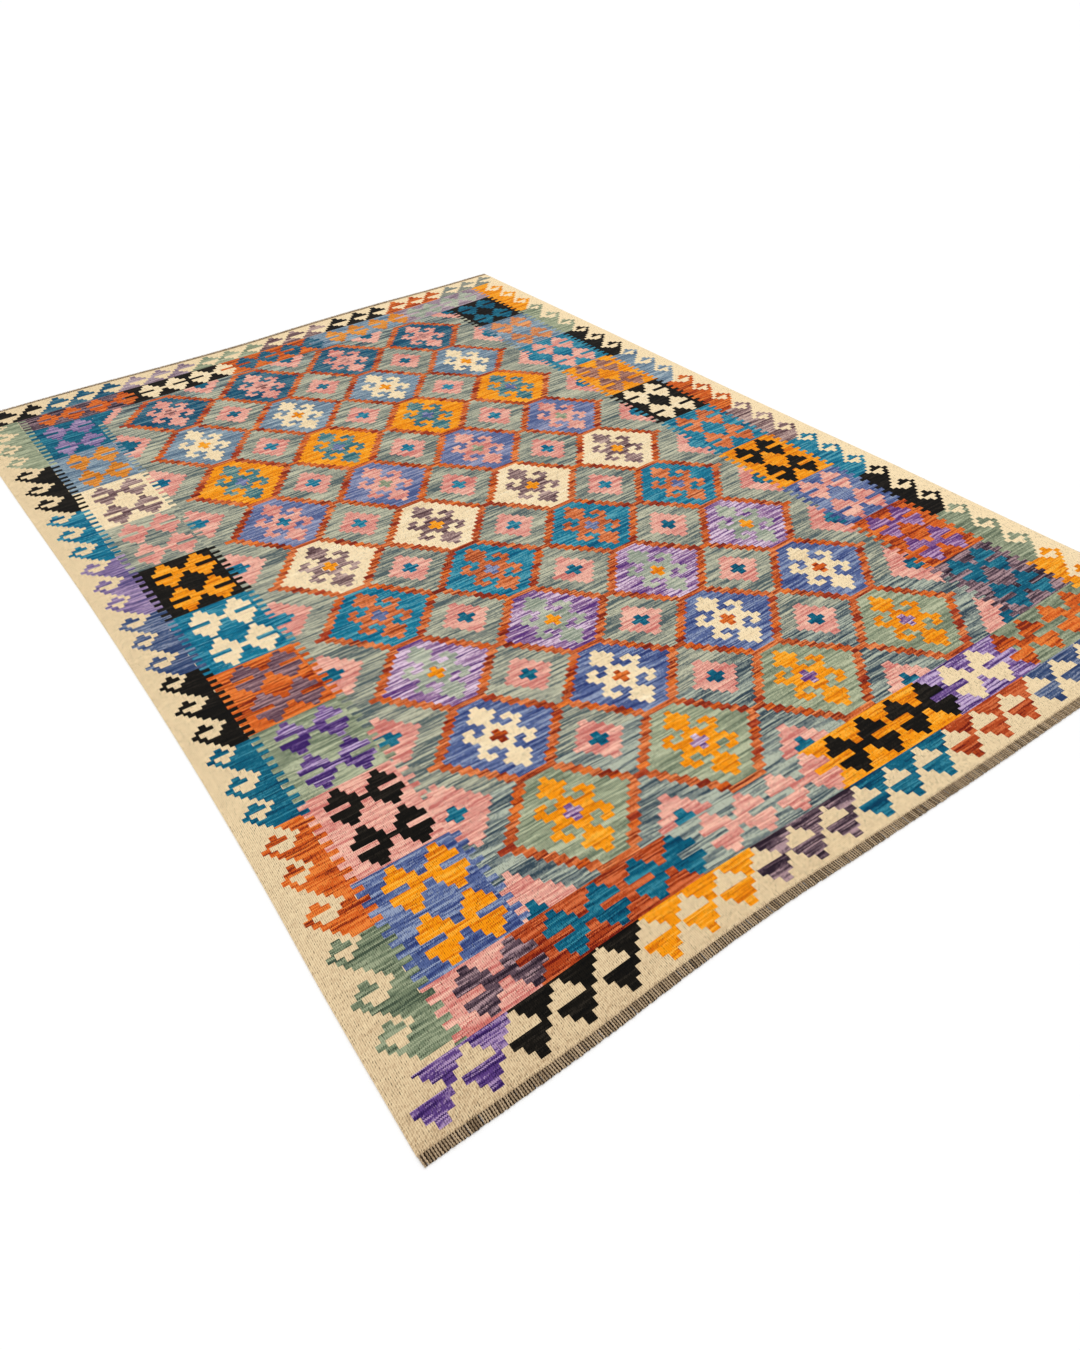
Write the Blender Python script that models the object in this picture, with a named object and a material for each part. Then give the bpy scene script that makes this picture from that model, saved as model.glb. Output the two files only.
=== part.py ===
"""A flat-woven wool kilim rug lying flat, with a short cut fringe along each warp end.

Metres. X runs along the weft (the rug's width), Y along the warp (its length) and Z up from the floor.
The near end, where the weaving began, is at -Y. The origin is on the floor, under the middle of the whole rug.
The yarns' pattern is colour alone, so the cloth's solid is smooth.
"""

import math
from collections import namedtuple

import bmesh
import bpy

# The cloth, between its selvedges and between its two woven ends
WIDTH = 2.054
LENGTH = 2.985
CLOTH_THICKNESS = 0.004

# The fringe: cut warp ends, gathered into flat locks that lie on the floor
LOCKS_PER_END = 120
LOCK_SHARE = 0.78
LOCK_LENGTH = 0.0145
LOCK_LENGTH_SPREAD = 0.0012
LOCK_LEAN = 0.0022
ROOT_DEPTH = 0.0035
ROOT_THICKNESS = 0.003
TIP_THICKNESS = 0.0015
TIP_SHARE = 0.62
CLEARANCE = 0.0003

# How often each edge of the cloth is given a point
STEPS_ACROSS = 48
STEPS_ALONG = 48

WOOL_GROUND = (0.66, 0.53, 0.36, 1.0)
WARP_ENDS = (0.16, 0.13, 0.10, 1.0)
WOOL_ROUGHNESS = 0.9

# How far hand weaving draws each edge in from a plain rectangle, at places along that edge.
# Sides are measured from the near end, and ends from the left selvedge.
EdgePoint = namedtuple("EdgePoint", "along inset")
LEFT_SIDE = (
    EdgePoint(0.00, -0.001),
    EdgePoint(0.30, 0.004),
    EdgePoint(0.60, 0.016),
    EdgePoint(0.90, 0.023),
    EdgePoint(1.35, 0.025),
    EdgePoint(1.75, 0.021),
    EdgePoint(2.15, 0.012),
    EdgePoint(2.55, 0.004),
    EdgePoint(LENGTH, 0.000),
)
RIGHT_SIDE = (
    EdgePoint(0.00, 0.001),
    EdgePoint(0.45, 0.003),
    EdgePoint(0.80, -0.001),
    EdgePoint(1.30, 0.002),
    EdgePoint(2.00, 0.000),
    EdgePoint(LENGTH, 0.000),
)
NEAR_END = (
    EdgePoint(0.00, -0.001),
    EdgePoint(0.30, 0.002),
    EdgePoint(0.52, 0.009),
    EdgePoint(0.72, 0.0125),
    EdgePoint(0.90, 0.008),
    EdgePoint(1.20, 0.002),
    EdgePoint(1.60, 0.000),
    EdgePoint(WIDTH, 0.000),
)
FAR_END = (
    EdgePoint(0.00, 0.004),
    EdgePoint(0.15, -0.003),
    EdgePoint(0.42, 0.002),
    EdgePoint(0.75, 0.017),
    EdgePoint(0.95, 0.018),
    EdgePoint(1.20, 0.006),
    EdgePoint(1.50, -0.006),
    EdgePoint(1.80, 0.000),
    EdgePoint(WIDTH, -0.005),
)


def inset_at(edge, along):
    """The inset at a place along an edge, on a smooth curve through its table's points."""
    last = len(edge) - 1
    span = max(i for i in range(last) if edge[i].along <= along or i == 0)
    before, start = edge[max(span - 1, 0)], edge[span]
    end, after = edge[span + 1], edge[min(span + 2, last)]
    share = (along - start.along) / (end.along - start.along)
    leave = (end.inset - before.inset) / (end.along - before.along)
    arrive = (after.inset - start.inset) / (after.along - start.along)
    width = end.along - start.along
    blend = share * share * (3 - 2 * share)
    return (
        start.inset * (1 - blend)
        + end.inset * blend
        + leave * width * share * (1 - share) ** 2
        - arrive * width * share**2 * (1 - share)
    )


def cloth_point(across, along):
    """The floor position of a point of the cloth, given as shares of its width and of its length."""
    left = inset_at(LEFT_SIDE, along * LENGTH)
    right = WIDTH - inset_at(RIGHT_SIDE, along * LENGTH)
    near = inset_at(NEAR_END, across * WIDTH)
    far = LENGTH - inset_at(FAR_END, across * WIDTH)
    return left + (right - left) * across, near + (far - near) * along


def cloth_outline():
    """The cloth's edge, anticlockwise from its near left corner."""
    across = [i / STEPS_ACROSS for i in range(STEPS_ACROSS)]
    along = [i / STEPS_ALONG for i in range(STEPS_ALONG)]
    near = [cloth_point(share, 0) for share in across]
    right = [cloth_point(1, share) for share in along]
    far = [cloth_point(1 - share, 1) for share in across]
    left = [cloth_point(0, 1 - share) for share in along]
    return near + right + far + left


def fringe_reach(index):
    """How far lock number index reaches past the backing, and how far it leans sideways."""
    reach = LOCK_LENGTH + LOCK_LENGTH_SPREAD * math.sin(2.1 * index)
    lean = LOCK_LEAN * math.sin(1.3 * index) * math.cos(0.37 * index)
    return reach, lean


def whole_rug_middle():
    """The middle of the rug's box, fringes included, in the cloth's own coordinates."""
    outline = cloth_outline()
    longest = CLEARANCE + ROOT_DEPTH + LOCK_LENGTH + LOCK_LENGTH_SPREAD
    low_y = min(y for _, y in outline) - longest
    high_y = max(y for _, y in outline) + longest
    low_x = min(x for x, _ in outline)
    high_x = max(x for x, _ in outline)
    return (low_x + high_x) / 2, (low_y + high_y) / 2


def wool(name, colour):
    material = bpy.data.materials.new(name)
    material.use_nodes = True
    shader = material.node_tree.nodes["Principled BSDF"]
    shader.inputs["Base Color"].default_value = colour
    shader.inputs["Roughness"].default_value = WOOL_ROUGHNESS
    shader.inputs["Metallic"].default_value = 0.0
    material.diffuse_color = colour
    return material


def add_object(name, bm, material, middle):
    """Makes bm an object whose points are measured from the middle of the rug."""
    bmesh.ops.translate(bm, verts=bm.verts, vec=(-middle[0], -middle[1], 0))
    bmesh.ops.recalc_face_normals(bm, faces=bm.faces)
    mesh = bpy.data.meshes.new(name)
    bm.to_mesh(mesh)
    bm.free()
    mesh.materials.append(material)
    rug_object = bpy.data.objects.new(name, mesh)
    bpy.context.scene.collection.objects.link(rug_object)
    return rug_object


def build_cloth(middle):
    """The woven cloth: a thin slab with the hand-woven outline."""
    bm = bmesh.new()
    outline = cloth_outline()
    base = bm.faces.new([bm.verts.new((x, y, 0)) for x, y in outline])
    raised = bmesh.ops.extrude_face_region(bm, geom=[base])
    top = [item for item in raised["geom"] if isinstance(item, bmesh.types.BMVert)]
    bmesh.ops.translate(bm, verts=top, vec=(0, 0, CLOTH_THICKNESS))
    return add_object("kilim_cloth", bm, wool("wool_weave", WOOL_GROUND), middle)


def add_ring(bm, x, y, depth):
    """Four corners across the backing strip: cloth side low and high, fringe side high and low."""
    return [
        bm.verts.new((x, y, 0)),
        bm.verts.new((x, y, ROOT_THICKNESS)),
        bm.verts.new((x, y + depth, ROOT_THICKNESS)),
        bm.verts.new((x, y + depth, 0)),
    ]


def add_lock(bm, left, right, reach, lean):
    """One four-sided lock from the fringe side of the backing, between two rings, flat on the floor."""
    root = (left[3], right[3], right[2], left[2])
    middle_x = (left[2].co.x + right[2].co.x) / 2 + lean
    half_tip = (right[2].co.x - left[2].co.x) / 2 * TIP_SHARE
    tip_y = (left[2].co.y + right[2].co.y) / 2 + reach
    tip = (
        bm.verts.new((middle_x - half_tip, tip_y, 0)),
        bm.verts.new((middle_x + half_tip, tip_y, 0)),
        bm.verts.new((middle_x + half_tip, tip_y, TIP_THICKNESS)),
        bm.verts.new((middle_x - half_tip, tip_y, TIP_THICKNESS)),
    )
    for i in range(4):
        after = (i + 1) % 4
        bm.faces.new((root[i], root[after], tip[after], tip[i]))
    bm.faces.new(tip)


def build_fringe(name, end, material, middle):
    """The locks along one end, end 0 being the near one, fused at their roots into a narrow strip."""
    away = 1 if end else -1
    bm = bmesh.new()
    rings = []
    for index in range(LOCKS_PER_END):
        gap = (1 - LOCK_SHARE) / 2
        for share in (gap, 1 - gap):
            x, y = cloth_point((index + share) / LOCKS_PER_END, end)
            rings.append(add_ring(bm, x, y + away * CLEARANCE, away * ROOT_DEPTH))
    for number, (left, right) in enumerate(zip(rings, rings[1:])):
        holds_lock = number % 2 == 0
        for i in range(4):
            after = (i + 1) % 4
            if not (holds_lock and i == 2):
                bm.faces.new((left[i], left[after], right[after], right[i]))
        if holds_lock:
            reach, lean = fringe_reach(number // 2)
            add_lock(bm, left, right, away * reach, lean)
    bm.faces.new(rings[0])
    bm.faces.new(rings[-1])
    return add_object(name, bm, material, middle)


def build_rug():
    for old in list(bpy.data.objects):
        bpy.data.objects.remove(old)
    middle = whole_rug_middle()
    build_cloth(middle)
    warp_ends = wool("warp_ends", WARP_ENDS)
    build_fringe("fringe_near", 0, warp_ends, middle)
    build_fringe("fringe_far", 1, warp_ends, middle)


build_rug()
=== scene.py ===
"""The looks of the flat-woven wool kilim: its pattern, its weave and its cut fringe, on a pale floor.

The pattern is charted on the loom, in millimetres: x from the left selvedge along the weft, and y from the
near end along the warp. Weaving is never quite even, so the loom's straight lines are then drawn in, leaned
and bowed to where they lie on the floor, which is in metres from the middle of the rug.
"""

import math
import random
from bisect import bisect_left, bisect_right
from collections import namedtuple
from functools import partial
from itertools import count

import bpy
import numpy as np
from mathutils import Euler, Matrix, Vector


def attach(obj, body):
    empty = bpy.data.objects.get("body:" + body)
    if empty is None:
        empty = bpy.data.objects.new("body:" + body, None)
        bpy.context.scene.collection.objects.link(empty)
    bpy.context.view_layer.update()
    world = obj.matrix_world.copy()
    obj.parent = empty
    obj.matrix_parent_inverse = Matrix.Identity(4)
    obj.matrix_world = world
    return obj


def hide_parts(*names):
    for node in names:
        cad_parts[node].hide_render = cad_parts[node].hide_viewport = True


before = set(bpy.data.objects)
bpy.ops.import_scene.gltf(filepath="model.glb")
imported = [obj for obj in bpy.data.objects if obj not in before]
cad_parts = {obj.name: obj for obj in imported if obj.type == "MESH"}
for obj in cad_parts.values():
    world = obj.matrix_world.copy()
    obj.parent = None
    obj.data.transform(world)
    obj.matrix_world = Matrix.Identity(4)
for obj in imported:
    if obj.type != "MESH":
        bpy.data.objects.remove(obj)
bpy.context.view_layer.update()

MM = 0.001
WIDTH = 2054
LENGTH = 2985
hand = random.Random(11)

# How far each edge of the cloth is drawn in, at places along it
LEFT_SIDE = (
    (0, -4), (300, 4), (600, 16), (900, 23), (1350, 25), (1750, 21), (2150, 12), (2550, 4), (LENGTH, 0),
)
RIGHT_SIDE = ((0, 1), (450, 3), (800, -1), (1300, 2), (2000, 0), (LENGTH, 0))
NEAR_END = ((0, -4), (300, -0.5), (520, 9), (720, 12.5), (900, 8), (1200, 2), (1600, 0), (WIDTH, 0))
FAR_END = ((0, 6), (150, 3), (420, 5), (750, 17), (950, 17), (1200, 2), (1500, -6), (1800, 0), (WIDTH, -5))

# The frame's origin, from the loom's near left corner: the middle of the whole rug's box
MIDDLE = (1027.0, 1495.0)

# The lines where one band of the design ends and the next begins
NEAR_ARROWS_TOP = 115
FIELD_NEAR = 230
LAST_BAR = 2737
FIELD_FAR = 2745
FAR_ARROWS_BASE = 2873
HOOKS_INNER = 131
BOX_OUTER = 151
LEFT_BOX_INNER = 341
RIGHT_BOX_INNER = 1721
RIGHT_SHIFT = 4

# The field's ground is darker nearer than the first of these lines and beyond the second
DARKER_GROUND = (511, 2668)

# The medallions: middles of the four columns across and of the nine rows along
COLUMNS = (556, 871, 1189, 1507)
ROWS = (380, 642, 897, 1166, 1431, 1710, 1997, 2295, 2592)
LEVELS = 9

# How far the weft has bowed towards the far end from each row's straight line, at places across the rug
BOW_STATIONS = (0, 556, 871, 1189, 1507, WIDTH)
BOW_LINES = (NEAR_ARROWS_TOP, FIELD_NEAR) + ROWS + (FIELD_FAR, FAR_ARROWS_BASE)
BOWS = (
    (-9, 0, -4, -5, -5, -6),
    (-5, 0, 1, 8, 9, 18),
    (0, 0, -2, 5, 7, 12),
    (3, 0, -6, 0, 15, 30),
    (2, 0, -5, -2, 17, 35),
    (4, 0, -5, 0, 21, 39),
    (1, 0, -2, 6, 24, 41),
    (0, 0, 5, 14, 27, 40),
    (-2, 0, 9, 20, 22, 32),
    (-2, 0, 0, 0, -1, 4),
    (2, 2, -7, -4, 2, 20),
    (24, -3, 3, -1, -1, 34),
    (-10, 0, 4, 4, 0, 27),
)

# Each yarn's darkest, middle and lightest display colours, and how strong its streaks are
Yarn = namedtuple("Yarn", "name dark mid light streak")
YARNS = [Yarn(*row) for row in (
    ("ecru", (210, 184, 146), (228, 204, 163), (244, 220, 178), 0),
    ("cream", (214, 188, 148), (240, 217, 176), (249, 234, 202), 0.5),
    ("black", (10, 9, 8), (20, 17, 13), (40, 35, 29), 0.9),
    ("orange", (206, 104, 8), (240, 147, 12), (248, 176, 58), 1.1),
    ("amber", (172, 96, 24), (213, 128, 34), (236, 164, 84), 1.3),
    ("fawn", (104, 64, 56), (160, 110, 96), (206, 156, 128), 1.3),
    ("rust", (122, 36, 18), (203, 88, 28), (230, 128, 56), 1.3),
    ("brick", (108, 22, 12), (168, 64, 26), (210, 108, 62), 1.3),
    ("copper", (138, 56, 28), (206, 108, 58), (232, 146, 98), 1.3),
    ("clay", (162, 92, 60), (206, 132, 84), (236, 160, 100), 1.3),
    ("outline", (120, 36, 20), (196, 92, 44), (228, 138, 82), 1.5),
    ("madder", (96, 24, 16), (146, 48, 26), (192, 84, 48), 1.0),
    ("petrol", (2, 58, 86), (10, 92, 118), (54, 132, 150), 1.1),
    ("teal", (2, 79, 112), (20, 116, 144), (88, 160, 174), 1.2),
    ("slate", (6, 62, 92), (24, 88, 114), (100, 132, 142), 1.4),
    ("sea", (38, 92, 106), (68, 122, 130), (150, 166, 146), 1.4),
    ("blue", (46, 60, 112), (82, 98, 144), (144, 156, 182), 1.2),
    ("dusk", (40, 58, 98), (66, 84, 120), (134, 142, 162), 1.5),
    ("periwinkle", (72, 86, 132), (103, 116, 154), (156, 158, 184), 1.4),
    ("lilac", (76, 68, 116), (126, 106, 148), (178, 154, 184), 1.4),
    ("grey_blue", (82, 104, 126), (114, 136, 153), (166, 180, 186), 1.4),
    ("iris", (58, 34, 96), (114, 84, 142), (194, 170, 204), 1.7),
    ("violet", (48, 26, 84), (88, 60, 122), (168, 140, 178), 1.6),
    ("purple", (86, 48, 116), (148, 112, 151), (220, 196, 214), 1.75),
    ("magenta", (84, 44, 108), (128, 86, 138), (190, 152, 188), 1.6),
    ("wine", (72, 48, 62), (114, 84, 94), (168, 132, 134), 1.4),
    ("plum", (40, 28, 40), (92, 72, 82), (172, 142, 146), 1.6),
    ("heather", (80, 56, 60), (138, 110, 109), (200, 172, 160), 1.5),
    ("mauve", (104, 82, 96), (156, 136, 148), (198, 178, 180), 1.3),
    ("sage", (104, 116, 94), (146, 154, 126), (184, 188, 156), 1.3),
    ("fern", (66, 80, 64), (112, 124, 98), (152, 160, 130), 1.3),
    ("moss", (92, 104, 84), (134, 142, 116), (172, 178, 148), 1.3),
    ("pale_sage", (124, 136, 120), (160, 166, 150), (194, 196, 174), 1.3),
    ("ground", (80, 94, 96), (148, 150, 134), (192, 190, 164), 1.6),
    ("pewter", (52, 68, 80), (120, 130, 126), (178, 184, 166), 1.6),
    ("grey_teal", (94, 108, 106), (136, 140, 128), (178, 168, 146), 1.3),
    ("pink", (196, 108, 100), (221, 155, 140), (240, 188, 166), 1.3),
    ("rose", (108, 66, 62), (178, 124, 118), (222, 164, 148), 1.3),
)]
YARN = {yarn.name: number for number, yarn in enumerate(YARNS)}


# ---- from the loom to the floor ----


def curve(points, at):
    """A smooth curve through the points, which are (place, value) pairs, read at an array of places."""
    places, values = np.array(points, float).T
    slopes = np.gradient(values, places)
    at = np.clip(np.asarray(at, float), places[0], places[-1])
    span = np.clip(np.searchsorted(places, at, side="right") - 1, 0, len(places) - 2)
    width = places[span + 1] - places[span]
    t = (at - places[span]) / width
    blend = t * t * (3 - 2 * t)
    return (
        values[span] * (1 - blend)
        + values[span + 1] * blend
        + slopes[span] * width * t * (1 - t) ** 2
        - slopes[span + 1] * width * t * t * (1 - t)
    )


def ease(t):
    """A smooth step from 0 at 0 to 1 at 1."""
    t = np.clip(t, 0, 1)
    return t * t * (3 - 2 * t)


def bow(x, y):
    """How far the weft line at y has bowed towards the far end, at x."""
    rows = [0 * x] + [curve(list(zip(BOW_STATIONS, row)), x) for row in BOWS] + [0 * x]
    rows, starts = np.array(rows), np.array((0, *BOW_LINES, LENGTH), float)
    span = np.clip(np.searchsorted(starts, y, side="right") - 1, 0, len(starts) - 2)
    t = ease((y - starts[span]) / (starts[span + 1] - starts[span]))
    index = np.arange(len(x))
    return rows[span, index] * (1 - t) + rows[span + 1, index] * t


# How the draw of each edge dies away: over shares of the width, or over millimetres from the ends. Part of
# the left one is felt until it fades.
LEFT_DRAW_REACH = 0.07
LEFT_DRAW_KEPT = 0.42
LEFT_DRAW_FADES_FROM = 0.72
RIGHT_DRAW_REACH = 0.08
END_DRAW_REACH = 250

# How strongly the warps on the right lean right towards the far end
LEAN = 110

# The far left hooks and the teeth beside them stand a little further in
STEP_IN = 10
STEP_IN_FROM = 2050
STEP_IN_LENGTH = 250
STEP_IN_MIDDLE = 165
STEP_IN_WIDTH = 60


def loom_to_floor(x, y):
    """Where loom points lie on the floor, in millimetres from the near left corner."""
    x, y = np.asarray(x, float), np.asarray(y, float)
    across = x / WIDTH
    fade = 1 - np.clip((across - LEFT_DRAW_FADES_FROM) / (1 - LEFT_DRAW_FADES_FROM), 0, 1) ** 2
    felt = (LEFT_DRAW_KEPT + (1 - LEFT_DRAW_KEPT) * np.exp(-across / LEFT_DRAW_REACH)) * fade
    lean = LEAN * (y / LENGTH) * across**3 * (1 - across)
    step_in = STEP_IN * ease((y - STEP_IN_FROM) / STEP_IN_LENGTH)
    step_in = step_in * np.exp(-(((x - STEP_IN_MIDDLE) / STEP_IN_WIDTH) ** 2))
    right = curve(RIGHT_SIDE, y) * np.exp(-(1 - across) / RIGHT_DRAW_REACH)
    near = curve(NEAR_END, x) * np.exp(-y / END_DRAW_REACH)
    far = curve(FAR_END, x) * np.exp(-(LENGTH - y) / END_DRAW_REACH)
    return x + curve(LEFT_SIDE, y) * felt + step_in + lean - right, y + near - far + bow(x, y)


LOOM_Y_STEPS = 6


def loom_y(x, floor_y):
    """The loom's y of a point that lies floor_y from the near end, at x, closed in on step by step."""
    y = float(floor_y)
    for _ in range(LOOM_Y_STEPS):
        y += floor_y - float(loom_to_floor([x], [y])[1][0])
    return y


# ---- weaving the pattern ----

# The grid that the pattern is woven on, and how many warps a turn may be out of line
WARPS = 1400
PICKS = 1194
WANDER = (-1, 0, 0, 1)
yarn_at = np.zeros((PICKS, WARPS), np.int16)
area_at = np.zeros((PICKS, WARPS), np.int32)
area_numbers = count(1)


def new_area():
    """A number for one patch of the pattern, so that the streaks of its yarn are its own."""
    return next(area_numbers)


def weave(left, right, low, high, yarn, area, wander=True):
    """Weaves one block of the pattern, from side to side and line to line."""
    first = round(left / WIDTH * WARPS) + (hand.choice(WANDER) if wander else 0)
    last = round(right / WIDTH * WARPS) + (hand.choice(WANDER) if wander else 0)
    bottom, top = round(low / LENGTH * PICKS), round(high / LENGTH * PICKS)
    first, last = max(first, 0), min(last, WARPS)
    yarn_at[bottom:top, first:last] = YARN[yarn]
    area_at[bottom:top, first:last] = area


def weave_chart(chart, turns, lines, key):
    """Weaves a chart, farthest row first, between turns and lines. key gives each mark's yarn and area."""
    for number, row in enumerate(chart):
        start = 0
        for end in range(1, len(row) + 1):
            if end == len(row) or row[end] != row[start]:
                if row[start] in key:
                    sides = sorted((turns[start], turns[end]))
                    yarn, area = key[row[start]]
                    weave(*sides, lines[number + 1], lines[number], yarn, area)
                start = end


MEDALLION_HALF_CHART = (
    ".....#.....",
    "....###....",
    "...#####...",
    "....###....",
    ".##..#..##.",
    "##..###..##",
    ".####o####.",
    "..##ooo##..",
)
MEDALLION = MEDALLION_HALF_CHART + MEDALLION_HALF_CHART[-2::-1]
MEDALLION_TURNS = (-71, -59, -46, -33, -21, -8.5, 8.5, 21, 33, 46, 59, 71)

# A medallion's stepped outline: half its bars, half its width at the middle, what each level takes off that,
# how far its side points stand out, its own width and its yarns
BAR_HALF = 47
MEDALLION_HALF = 160
MEDALLION_STEP = 12.5
SIDE_POINT = 8
OUTLINE_WIDTH = 26.5
OUTLINE_YARNS = ("outline",) * 4 + ("rust", "madder")

# The colours of the rows of medallions from near to far: ground, motif and middle
MEDALLIONS = (
    ("sage", "orange", "purple"),
    ("blue", "cream", "rust"),
    ("purple", "pale_sage", "orange"),
    ("teal", "copper", "periwinkle"),
    ("cream", "heather", "orange"),
    ("periwinkle", "pink", "sage"),
    ("orange", "sea", "periwinkle"),
    ("grey_blue", "cream", "orange"),
    ("slate", "pink", "rose"),
)
# The row and column of the one medallion whose middle is of another yarn
ODD_ONE = (5, 0)


def level_line(row, level):
    """The y of a line of the stepped field, counted in levels from the middle of a row of medallions."""
    beyond = row + (1 if level >= 0 else -1)
    if 0 <= beyond < len(ROWS):
        return ROWS[row] + abs(ROWS[beyond] - ROWS[row]) / 2 * level / LEVELS
    reach = LAST_BAR - ROWS[row] if level >= 0 else ROWS[row] - FIELD_NEAR
    return ROWS[row] + reach * level / (LEVELS + 0.5)


def weave_medallion(row, column):
    """One stepped hexagon: its red-orange outline, its ground and the hooked motif in it."""
    ground, motif, middle = MEDALLIONS[row]
    if (row, column) == ODD_ONE:
        middle = "teal"
    x = COLUMNS[column]
    ground_area, motif_area, middle_area = new_area(), new_area(), new_area()
    for level in range(-LEVELS, LEVELS + 1):
        low, high = level_line(row, level - 0.5), level_line(row, level + 0.5)
        if abs(level) == LEVELS:
            weave(x - BAR_HALF, x + BAR_HALF, low, high, "outline", new_area())
            continue
        outer = MEDALLION_HALF - MEDALLION_STEP * abs(level)
        for side in (-1, 1):
            reach = outer + (SIDE_POINT if level == 0 else 0)
            yarn = hand.choice(OUTLINE_YARNS)
            weave(*sorted((x, x + side * reach)), low, high, yarn, new_area())
        weave(x - outer + OUTLINE_WIDTH, x + outer - OUTLINE_WIDTH, low, high, ground, ground_area)
    turns = [x + turn for turn in MEDALLION_TURNS]
    lines = [level_line(row, len(MEDALLION) / 2 - number) for number in range(len(MEDALLION) + 1)]
    weave_chart(MEDALLION, turns, lines, {"#": (motif, motif_area), "o": (middle, middle_area)})


def bar_line(bar, level):
    """The y of a line in levels from the bar line beyond a row of medallions. Bar -1 is before the first."""
    if level >= 0:
        return level_line(bar + 1, level - LEVELS) if bar + 1 < len(ROWS) else FIELD_FAR
    return level_line(bar, LEVELS + level) if bar >= 0 else FIELD_NEAR


# The diamonds of ground between the medallions: half their width, and what each level takes off it
GROUND_HALF = 158
GROUND_STEP = 12.5

# The pink diamonds: what each level takes off half their width, and half of each level of their crosses
DIAMOND_STEP = 12.4
CROSS_HALVES = (23, 9.5)
# Their half widths and levels, after the x of those at the sides. The right ones narrow by the row.
FREE_DIAMOND = (61, 4)
LEFT_DIAMONDS = ((372, 82, 6), (370, 72, 6))
RIGHT_DIAMOND = (1692, 80, 6)
RIGHT_DRAWN_IN = (5, 22)

# The notches against the boxes. Right: where each level begins, from the middle out, and its height. Left, by
# the row before: how far the notch reaches, and its levels each way.
TEAL_BARS = range(3, 7)
RIGHT_NOTCH = (1678, 1685, 1699)
RIGHT_NOTCH_LEVEL = 0.95
LEFT_NOTCHES = {**dict.fromkeys(range(1, 7), (395, 1)), 7: (408, 2), 8: (413, 4)}
LEFT_NOTCH_STEP = 13.5


def ground_yarn(y):
    """The yarn of the field's ground at a line."""
    return "ground" if DARKER_GROUND[0] < y < DARKER_GROUND[1] else "pewter"


def notch_yarn(bar):
    """The yarn of the crosses and notches on a bar line: darker at both ends of the field."""
    return "teal" if bar in TEAL_BARS else "petrol"


def is_shown(level, halves):
    """Whether a level is in the halves that are woven, -1 being the near one and 1 the far one."""
    return level == 0 or math.copysign(1, level) in halves


def weave_diamond(bar, halves, x, half_width, levels):
    """A pink diamond with a cross, on a bar line."""
    pink_area, cross_area = new_area(), new_area()
    for level in range(-levels, levels + 1):
        if is_shown(level, halves):
            low, high = bar_line(bar, level - 0.5), bar_line(bar, level + 0.5)
            reach = half_width - DIAMOND_STEP * abs(level)
            weave(x - reach, x + reach, low, high, "pink", pink_area)
            if abs(level) < len(CROSS_HALVES):
                cross = CROSS_HALVES[abs(level)]
                weave(x - cross, x + cross, low, high, notch_yarn(bar), cross_area)


def weave_right_notch(bar, halves):
    """The stepped half diamond that stands against a right box."""
    area = new_area()
    for level in range(1 - len(RIGHT_NOTCH), len(RIGHT_NOTCH)):
        if is_shown(level, halves):
            low, high = [bar_line(bar, (level + side) * RIGHT_NOTCH_LEVEL) for side in (-0.5, 0.5)]
            weave(RIGHT_NOTCH[abs(level)], RIGHT_BOX_INNER, low, high, notch_yarn(bar), area)


def weave_left_notch(bar):
    """The stepped half diamond that stands against a left box."""
    reach, levels = LEFT_NOTCHES[bar]
    area = new_area()
    for level in range(-levels, levels + 1):
        low, high = bar_line(bar, level - 0.5), bar_line(bar, level + 0.5)
        weave(LEFT_BOX_INNER, reach - LEFT_NOTCH_STEP * abs(level), low, high, notch_yarn(bar), area)


def weave_field():
    """The ground, the medallions, and the diamonds and notches between them."""
    for low, high in zip((FIELD_NEAR, *DARKER_GROUND), (*DARKER_GROUND, FIELD_FAR)):
        weave(BOX_OUTER, WIDTH - BOX_OUTER, low, high, ground_yarn((low + high) / 2), new_area())
    halfway = [(a + b) / 2 for a, b in zip(COLUMNS, COLUMNS[1:])]
    middles = [COLUMNS[0] - GROUND_HALF] + halfway + [COLUMNS[-1] + GROUND_HALF]
    for bar in range(-1, len(ROWS)):
        for x in middles:
            area = new_area()
            for level in range(-LEVELS, LEVELS + 1):
                low, high = bar_line(bar, level - 0.5), bar_line(bar, level + 0.5)
                if high > low:
                    reach = GROUND_HALF - GROUND_STEP * abs(level)
                    weave(x - reach, x + reach, low, high, ground_yarn((low + high) / 2), area, wander=False)
    for row in range(len(ROWS)):
        for column in range(len(COLUMNS)):
            weave_medallion(row, column)
    for bar in range(-1, len(ROWS)):
        halves = [half for half in (-1, 1) if 0 <= bar + (half > 0) < len(ROWS)]
        for x in halfway:
            weave_diamond(bar, halves, x, *FREE_DIAMOND)
        weave_diamond(bar, halves, *LEFT_DIAMONDS[bar >= 1])
        if bar in LEFT_NOTCHES:
            weave_left_notch(bar)
        x, half_width, levels = RIGHT_DIAMOND
        drawn_in = min(RIGHT_DRAWN_IN[0] * (bar + 1), RIGHT_DRAWN_IN[1])
        weave_diamond(bar, halves, x + drawn_in / 2, half_width - drawn_in / 2, levels)
        weave_right_notch(bar, halves)


# Each level of a leaf: where it starts and ends, as shares of the leaf, and its half width. The slot's is 0.
LEAF_LEVELS = (
    (0, 0.13, 10),
    (0.13, 0.27, 21),
    (0.27, 0.435, 34.5),
    (0.435, 0.565, 0),
    (0.565, 0.73, 34.5),
    (0.73, 0.87, 21),
    (0.87, 1, 10),
)
SLOT_DEPTH = 12
# The share of its band or tier that a leaf fills
LEAF_SHARE = 0.92


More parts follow.
